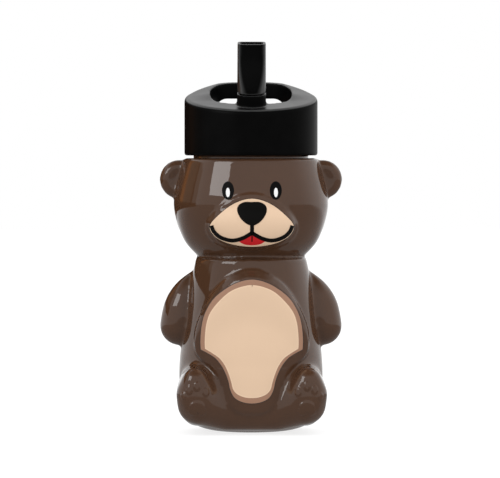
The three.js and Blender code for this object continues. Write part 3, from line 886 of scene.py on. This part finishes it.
notch_half, notch_front = YOKE_HALF + NOTCH_ROOM, PIVOT_Y + CHEEK_R - 1
notch = block("notch", (-notch_half, notch_front, LID_FLOOR - 1), (notch_half, HOLE_Y, TALL))
combine(lid, notch, "DIFFERENCE")
yoke = leaning(upright("yoke", yoke_outline(YOKE_HALF, YOKE_FRONT, CHEEK_R), -23, CHEEK_R - 0.2))
rear = block("rear", (-LID_R, 0, 0), (LID_R, LID_R, LID_R))
combine(rear, rod("cheek", CHEEK_R, LID_R + 1), "DIFFERENCE")
combine(yoke, leaning(rear), "DIFFERENCE")
combine(yoke, block("below", (-LID_R, -2 * LID_R, 0), (LID_R, LID_R, LID_FLOOR)), "DIFFERENCE")
fold_from = (-LID_R, PIVOT_Y + CHEEK_R + 0.1, PIVOT_Z - BARREL_R - 0.4)
combine(yoke, block("fold_room", fold_from, (LID_R, LID_R, TALL)), "DIFFERENCE")
combine(lid, yoke, "UNION")
reach = BARREL_R + NOTCH_ROOM
barrel_room = block("barrel_room", (-WELL_HALF, -reach, -reach), (WELL_HALF, 20, 30))
combine(lid, leaning(barrel_room), "DIFFERENCE")
print("lid with its yoke:", len(lid.data.polygons), "faces")

# %% Room for the seal and the trunnions
SEAL_HALF, SEAL_BACK = WELL_HALF - PLAY, -12.4


def seal_outline(extra):
    half = SEAL_HALF + extra
    front = [(x, y + PIVOT_Y) for x, y in arc((0, 0), half, 180, 360, 24)]
    return [(half, SEAL_BACK + extra), (-half, SEAL_BACK + extra)] + front


combine(lid, upright("seal_room", seal_outline(PLAY), LID_FLOOR - 1, PIVOT_Z), "DIFFERENCE")
combine(lid, leaning(rod("pin_holes", TRUNNION_R + PLAY, YOKE_HALF + 1)), "DIFFERENCE")
lid = melted([lid], LID_VOXEL, LID_PASSES)
finished(lid, "lid_cap", black, "lid", "lid", "lid_shell", angle=60)

# %% [markdown]
# ## The spout
# The mouthpiece changes from the round plan of the yoke at its foot to a rounded oblong
# at its tip. That is a loft: one closed ring for each height, bridged into a skin. The
# same loft, smaller by the wall, hollows it.

# %% Spout
SPOUT_TOP, SPOUT_WALL, CHANNEL_R = 27.4, 1.3, 2.3
TIP_HALF, TIP_DEPTH = 6.5, 7.8
SPOUT_FOOT, SPOUT_VOXEL, SPOUT_PASSES = CHEEK_R + 0.4, 0.3, 5


def between(a, b, share):
    return a + (b - a) * min(max(share, 0), 1.2)


def lofted(name, rings):
    points = [p for ring in rings for p in ring]
    edges = []
    for k, ring in enumerate(rings):
        size = len(ring)
        edges += [(k * size + i, k * size + (i + 1) % size) for i in range(size)]
    obj = new_mesh(name, points, edges)
    edit(obj)
    bpy.ops.mesh.bridge_edge_loops()
    bpy.ops.mesh.select_all(action="SELECT")
    bpy.ops.mesh.fill_holes(sides=0)
    return closed(obj)


def spout_ring(height, inset, around=96):
    rise = (height - CHEEK_R) / (SPOUT_TOP - CHEEK_R)
    half = between(YOKE_HALF - 0.1, TIP_HALF, rise) - inset
    back = BARREL_R - 0.2 - inset
    front = between(YOKE_FRONT, TIP_DEPTH - BARREL_R + 0.2, eased(rise, 0, 0.8)) - inset
    roundness = between(2.6, 5, eased(rise, 0, 0.6))
    ring = []
    for k in range(around):
        c, s = math.cos(math.tau * k / around), math.sin(math.tau * k / around)
        n, deep = (roundness, front) if s < 0 else (6, back)
        x = half * math.copysign(abs(c) ** (2 / n), c)
        y = deep * math.copysign(abs(s) ** (2 / n), s)
        ring.append((x, y, height))
    return ring


def spout_form(inset, low, high, levels=24):
    return lofted("spout", [spout_ring(low + (high - low) * i / levels, inset) for i in range(levels + 1)])


# %% Barrel, trunnions and water channel
lug = WELL_HALF - PLAY
spout = spout_form(0, SPOUT_FOOT, SPOUT_TOP)
combine(spout, block("lug", (-lug, 0.2 - BARREL_R, 0), (lug, BARREL_R - 0.2, SPOUT_FOOT + 1)), "UNION")
combine(spout, rod("barrel", BARREL_R, lug), "UNION")
combine(spout, rod("trunnions", TRUNNION_R, YOKE_HALF - PLAY), "UNION")
combine(spout, spout_form(SPOUT_WALL, SPOUT_FOOT + SPOUT_WALL, SPOUT_TOP + 1), "DIFFERENCE")
channel_low, channel_high = -BARREL_R - 1, SPOUT_FOOT + SPOUT_WALL + 1
channel = [(0, channel_low), (CHANNEL_R, channel_low), (CHANNEL_R, channel_high), (0, channel_high)]
combine(spout, turned("channel", channel, 48), "DIFFERENCE")
spout = leaning(melted([spout], SPOUT_VOXEL, SPOUT_PASSES))
finished(spout, "drinking_spout", spout_black, "spout", "spout", "spout", angle=60)

# %% [markdown]
# ## What the lid hides
# The inner cap screws on the neck, and carries the straw, the seal under the spout and
# a small valve that lets air in. They show when the lid comes off, so they are modelled
# with rounded edges and their own finishes.

# %% Inner cap
DECK_LOW, DECK_TOP, CAP_R = 144.1, 146.5, 28.7
SKIRT_BORE, SKIRT_R, SKIRT_LOW = 26.1, 28.3, 130.8
STRAW_Y, STRAW_BORE_R, STRAW_R, STRAW_LOW = -15.5, 2.9, 3.8, 8
NIPPLE_R, NIPPLE_BORE_R, NIPPLE_LOW = 2.75, 1.9, 134.1
VENT_Y, VENT_R = 16, 1.3


def placed(obj, y):
    obj.location.y = y * MM
    return settle(obj)


def tube(name, inner, outer, low, high, steps=64, soft=0.25):
    """A ring with softened edges."""
    ring = [(inner, low + soft), (inner + soft, low), (outer - soft, low), (outer, low + soft)]
    ring += [(outer, high - soft), (outer - soft, high), (inner + soft, high), (inner, high - soft)]
    return turned(name, ring + ring[:1], steps)


def plug(name, radius, low, high, steps=48):
    return turned(name, [(0, low), (radius, low), (radius, high), (0, high)], steps)


cap = plug("inner_cap", CAP_R, DECK_LOW, DECK_TOP, 128)
combine(cap, tube("skirt", SKIRT_BORE, SKIRT_R, SKIRT_LOW, DECK_LOW + 0.5, 128), "UNION")
combine(cap, thread("cap_thread", SKIRT_BORE, -0.3, SKIRT_LOW + 2), "UNION")
combine(cap, placed(plug("nipple", NIPPLE_R, NIPPLE_LOW, DECK_LOW + 0.1), STRAW_Y), "UNION")
combine(cap, placed(plug("water_way", NIPPLE_BORE_R, NIPPLE_LOW - 1, DECK_TOP + 1), STRAW_Y), "DIFFERENCE")
combine(cap, placed(plug("vent", VENT_R, DECK_LOW - 1, DECK_TOP + 1), VENT_Y), "DIFFERENCE")
combine(cap, upright("pocket", seal_outline(0.2), DECK_TOP - 0.8, DECK_TOP + 1), "DIFFERENCE")
finished(cap, "inner_cap", insert_black, "lid", "insert", "lid_insert")

# %% Straw and gasket
straw = placed(tube("straw", STRAW_BORE_R, STRAW_R, STRAW_LOW, DECK_LOW - 0.2), STRAW_Y)
cut_half, cut_high = 0.7 * STRAW_R, 1.2 * STRAW_R
wedge = [(cut_half, STRAW_LOW - 1), (-cut_half, STRAW_LOW - 1), (0, STRAW_LOW + cut_high)]
combine(straw, stamp("straw_notch", wedge, -30, 0), "DIFFERENCE")
finished(straw, "drinking_straw", straw_white, "lid", "straw", "straw")

GASKET_BORE, GASKET_R, GASKET_LOW, GASKET_TOP = 22.7, 25.5, 142.5, 143.9
gasket = tube("gasket", GASKET_BORE, GASKET_R, GASKET_LOW, GASKET_TOP, 128)
finished(gasket, "rim_gasket", silicone, "seal_ring", "silicone", "lid_gasket")

# %% Seal under the spout
SEAL_LOW, ACROSS = 145.9, 7
CHAMBER_HALF, CHAMBER_TOP = 1.9, 147.4
seal = upright("seal", seal_outline(0), SEAL_LOW, PIVOT_Z - BARREL_R + 1)
behind = block("behind", (-ACROSS, PIVOT_Y, PIVOT_Z - BARREL_R - 0.4), (ACROSS, 0, PIVOT_Z))
combine(seal, behind, "DIFFERENCE")
cradle = rod("cradle", BARREL_R + PLAY, ACROSS)
cradle.location = (0, PIVOT_Y * MM, PIVOT_Z * MM)
combine(seal, settle(cradle), "DIFFERENCE")
combine(seal, placed(plug("port", CHANNEL_R, SEAL_LOW - 0.9, PIVOT_Z), PIVOT_Y), "DIFFERENCE")
chamber_low = (-CHAMBER_HALF, PIVOT_Y, SEAL_LOW - 0.9)
chamber_high = (CHAMBER_HALF, STRAW_Y + CHAMBER_HALF, CHAMBER_TOP)
combine(seal, block("chamber", chamber_low, chamber_high), "DIFFERENCE")
finished(seal, "barrel_seal", silicone, "lid", "silicone", "spout_seal")

# %% Air valve
valve_outline = [(0, 142.5), (0.6, 142.5), (1.5, 143.9), (1, 143.9), (1, 146.7), (4, 146.7)]
valve_outline += [(3.9, 147), (3.2, 147.3), (1.8, 147.5), (0, 147.6)]
valve = placed(turned("valve", valve_outline, 48), VENT_Y)
finished(valve, "air_valve", silicone, "lid", "silicone", "vent_valve")

# %% [markdown]
# ## The studio
# A product shot on white: a pale floor that runs into a white background, one softbox
# to the front left, and a dark striped card on the left that draws the brown edge on the
# glossy side of the bear. A long lens far away keeps the shape free of perspective.

# %% Camera
CAMERA_DISTANCE, CAMERA_HEIGHT, CAMERA_AZIMUTH = 1.8, 0.136, -0.75
IMAGE_WIDTH, IMAGE_HEIGHT = 500, 478
PIXEL = 0.466 * MM
AXIS_PIXEL, FLOOR_PIXEL = 251, 431

aim = Vector((0, 0, (FLOOR_PIXEL - IMAGE_HEIGHT / 2) * PIXEL))
turn = math.radians(CAMERA_AZIMUTH)
lens = bpy.data.cameras.new("camera")
lens.sensor_width = 36
lens.lens = lens.sensor_width * CAMERA_DISTANCE / (IMAGE_WIDTH * PIXEL)
lens.shift_x = (IMAGE_WIDTH / 2 - AXIS_PIXEL) / IMAGE_WIDTH
camera = bpy.data.objects.new("camera", lens)
bpy.context.collection.objects.link(camera)
camera.location = (CAMERA_DISTANCE * math.sin(turn), -CAMERA_DISTANCE * math.cos(turn), CAMERA_HEIGHT)
camera.rotation_mode = "QUATERNION"
camera.rotation_quaternion = (aim - camera.location).to_track_quat("-Z", "Y")
bpy.context.scene.camera = camera
print("lens:", round(lens.lens), "mm")

# %% [markdown]
# A glossy bear shows the room more than its own colour, so the room is what is shaped.
# The world sends one even light to matt surfaces and another to mirroring ones: dimmer in
# front than behind, and nearly dark overhead, which gives the tops of the lobes their deep
# brown. The camera itself sees plain white.

# %% World
FRONT_LIGHT, BACK_LIGHT, FILL_LIGHT, CEILING = 0.75, 1.0, 1.25, 0.1
FRONT_TO_BACK, WALL_TO_CEILING = (-0.3, 0.3), (0.65, 0.9)


def ramp(tree, value, low, high, to_low, to_high):
    """A value eased between two limits."""
    node = tree.nodes.new("ShaderNodeMapRange")
    node.interpolation_type = "SMOOTHSTEP"
    limits(node, "From", low, high)
    limits(node, "To", to_low, to_high)
    tree.links.new(value, node.inputs["Value"])
    return node.outputs["Result"]


def by_ray(tree, kind, others, chosen):
    """One shader for rays of a kind, and another for all the others."""
    path = tree.nodes.new("ShaderNodeLightPath")
    mix = tree.nodes.new("ShaderNodeMixShader")
    tree.links.new(path.outputs[kind], mix.inputs["Fac"])
    tree.links.new(others, mix.inputs[1])
    tree.links.new(chosen, mix.inputs[2])
    return mix.outputs[0]


def glow(tree, kind, strength):
    node = tree.nodes.new(kind)
    node.inputs["Color"].default_value = (1, 1, 1, 1)
    if isinstance(strength, float):
        node.inputs["Strength"].default_value = strength
    else:
        tree.links.new(strength, node.inputs["Strength"])
    return node.outputs[0]


def along(tree, space, axis):
    """How far back or up a place or a direction lies."""
    place = tree.nodes.new("ShaderNodeTexCoord")
    axes = tree.nodes.new("ShaderNodeSeparateXYZ")
    tree.links.new(place.outputs[space], axes.inputs[0])
    return axes.outputs[axis]


scene = bpy.context.scene
scene.view_settings.view_transform = "Standard"
world = bpy.data.worlds.new("studio")
scene.world = world
world.use_nodes = True
world.cycles.sampling_method = "NONE"
tree = world.node_tree
level = tree.nodes.new("ShaderNodeMath")
level.operation = "MULTIPLY"
depth, height = along(tree, "Generated", "Y"), along(tree, "Generated", "Z")
tree.links.new(ramp(tree, depth, *FRONT_TO_BACK, FRONT_LIGHT, BACK_LIGHT), level.inputs[0])
tree.links.new(ramp(tree, height, *WALL_TO_CEILING, 1, CEILING), level.inputs[1])
mirrored_room = glow(tree, "ShaderNodeBackground", level.outputs[0])
fill = glow(tree, "ShaderNodeBackground", FILL_LIGHT)
white = glow(tree, "ShaderNodeBackground", 1.0)
room = by_ray(tree, "Is Glossy Ray", fill, mirrored_room)
tree.links.new(by_ray(tree, "Is Camera Ray", room, white), tree.nodes["World Output"].inputs["Surface"])
print("world:", len(tree.nodes), "nodes")

# %% [markdown]
# The floor is white paper that keeps the bottle's soft shadow for the camera. In the
# gloss of the feet and the base it would be far too bright, so mirroring rays see it as a
# grey that brightens towards the back.

# %% Floor
FLOOR_SIZE, FLOOR_FILL = 8, 0.65
PAPER_GREY, PAPER_GLOW = 0.3, 0.8
MIRROR_DEPTH, MIRROR_FRONT, MIRROR_BACK = (0.1, 0.7), 0.36, 0.95
bpy.ops.object.select_all(action="DESELECT")
bpy.ops.mesh.primitive_plane_add(size=FLOOR_SIZE)
floor = bpy.context.object
floor.name = "floor"
paper = bpy.data.materials.new("white_paper")
paper.use_nodes = True
tree = paper.node_tree
shader = tree.nodes["Principled BSDF"]
shader.inputs["Base Color"].default_value = (*grey(PAPER_GREY), 1)
shader.inputs["Specular IOR Level"].default_value = 0
shader.inputs["Emission Color"].default_value = (1, 1, 1, 1)
shader.inputs["Emission Strength"].default_value = PAPER_GLOW
level = ramp(tree, along(tree, "Object", "Y"), *MIRROR_DEPTH, MIRROR_FRONT, MIRROR_BACK)
mirrored_floor = glow(tree, "ShaderNodeEmission", level)
fill = glow(tree, "ShaderNodeEmission", FLOOR_FILL)
ground = by_ray(tree, "Is Glossy Ray", fill, mirrored_floor)
surface = by_ray(tree, "Is Camera Ray", ground, shader.outputs[0])
tree.links.new(surface, tree.nodes["Material Output"].inputs["Surface"])
floor.data.materials.append(paper)
print("floor:", FLOOR_SIZE, "m")

# %% [markdown]
# The softbox makes the bright bar on the brow and the glints on the lobes. It is kept out
# of the matt light, so its strength can be set for the glints alone.

# %% Softbox
SOFTBOX_TOWARDS, SOFTBOX_DISTANCE = Vector((-0.70, -0.57, 0.49)), 1.2
SOFTBOX_SIZE, SOFTBOX_RADIANCE = (0.58, 0.49), 4.4

head_centre = Vector((0, 0, HEAD_Z * MM))
lamp = bpy.data.lights.new("softbox", "AREA")
lamp.shape = "RECTANGLE"
lamp.size, lamp.size_y = SOFTBOX_SIZE
lamp.energy = SOFTBOX_RADIANCE * math.pi * SOFTBOX_SIZE[0] * SOFTBOX_SIZE[1]
softbox = bpy.data.objects.new("softbox", lamp)
bpy.context.collection.objects.link(softbox)
softbox.location = head_centre + SOFTBOX_TOWARDS.normalized() * SOFTBOX_DISTANCE
softbox.rotation_mode = "QUATERNION"
softbox.rotation_quaternion = (head_centre - softbox.location).to_track_quat("-Z", "Y")
softbox.visible_camera = False
softbox.visible_diffuse = False
print("softbox:", round(lamp.energy, 2), "W")

# %% [markdown]
# Photographers stand a black card beside a shiny thing to give it an edge. Here the card
# is striped, pale, brown, rust and dark from front to back, because the bear's left side
# mirrors such bands in the photo. Only mirroring rays see it.

# %% Dark card
CARD_ENDS, CARD_LOW, CARD_HIGH = ((-262, -30), (-35, 247)), 84, 220
CARD_FADE = (0.108, 0.118)
PALE, BROWN = (0.45, 0.42, 0.39, 1), (0.26, 0.2, 0.15, 1)
DARK, RUST = (0.04, 0.016, 0.006, 1), (0.6, 0.22, 0.06, 1)
STRIPES = [(0.12, PALE), (0.14, DARK), (0.16, DARK), (0.18, BROWN)]
STRIPES += [(0.36, BROWN), (0.40, RUST), (0.44, RUST), (0.5, DARK)]

(x0, y0), (x1, y1) = CARD_ENDS
corners = [(x0, y0, CARD_LOW), (x1, y1, CARD_LOW), (x1, y1, CARD_HIGH), (x0, y0, CARD_HIGH)]
card = new_mesh("dark_card", corners, faces=[(0, 1, 2, 3)])
board = bpy.data.materials.new("brown_board")
board.use_nodes = True
tree = board.node_tree
tint = tree.nodes.new("ShaderNodeValToRGB")
while len(tint.color_ramp.elements) < len(STRIPES):
    tint.color_ramp.elements.new(0.5)
for element, (position, colour) in zip(tint.color_ramp.elements, STRIPES):
    element.position, element.color = position, colour
light = tree.nodes.new("ShaderNodeEmission")
depth = tree.nodes.new("ShaderNodeMapRange")
limits(depth, "From", y0 * MM, y1 * MM)
tree.links.new(along(tree, "Object", "Y"), depth.inputs["Value"])
tree.links.new(depth.outputs["Result"], tint.inputs["Fac"])
fade = tree.nodes.new("ShaderNodeMix")
fade.data_type = "RGBA"
fade.inputs["A"].default_value = DARK
tree.links.new(ramp(tree, along(tree, "Object", "Z"), *CARD_FADE, 0, 1), fade.inputs["Factor"])
tree.links.new(tint.outputs["Color"], fade.inputs["B"])
tree.links.new(fade.outputs["Result"], light.inputs["Color"])
tree.links.new(light.outputs[0], tree.nodes["Material Output"].inputs["Surface"])
card.data.materials.append(board)
for ray in ("visible_camera", "visible_diffuse", "visible_transmission", "visible_shadow"):
    setattr(card, ray, False)
print("card:", len(STRIPES), "stripes")
